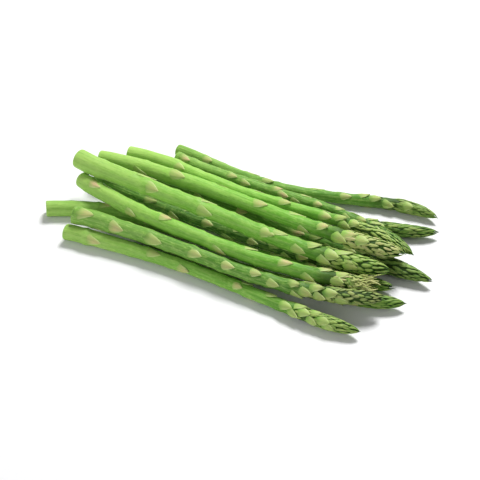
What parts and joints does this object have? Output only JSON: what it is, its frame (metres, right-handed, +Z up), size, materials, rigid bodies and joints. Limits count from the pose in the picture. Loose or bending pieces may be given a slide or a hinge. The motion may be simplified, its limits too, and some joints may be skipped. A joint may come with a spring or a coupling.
{
  "type": "bundle of asparagus",
  "caption": "Loose bundle of fresh green asparagus spears lying in two layers, cut ends together and pointed bud heads together, for food and kitchen scenes.",
  "frame": {"origin": "middle of the bundle's box, on the surface that the bundle lies on", "axes": "+X along the spears, cut ends at -X and heads at +X; +Y across the bundle, away from the spear that lies in front; +Z up"},
  "size_m": [0.2664, 0.1358, 0.0343],
  "materials": {
    "stem_skin": "waxy satin plant skin, yellow-green at the cut end and deeper green to the head",
    "bract": "satin, pale cream-green thin scale with a pink and brown tip",
    "head_scale": "satin, overlapping olive and pale green bud scales"
  },
  "bodies": {
    "root": {"spear_01": "stem_skin", "spear_02": "stem_skin", "spear_03": "stem_skin", "spear_04": "stem_skin", "spear_05": "stem_skin", "spear_06": "stem_skin", "spear_07": "stem_skin", "spear_08": "stem_skin", "spear_09": "stem_skin", "spear_10": "stem_skin", "spear_11": "stem_skin", "spear_12": "stem_skin", "spear_13": "stem_skin"}
  },
  "joints": []
}
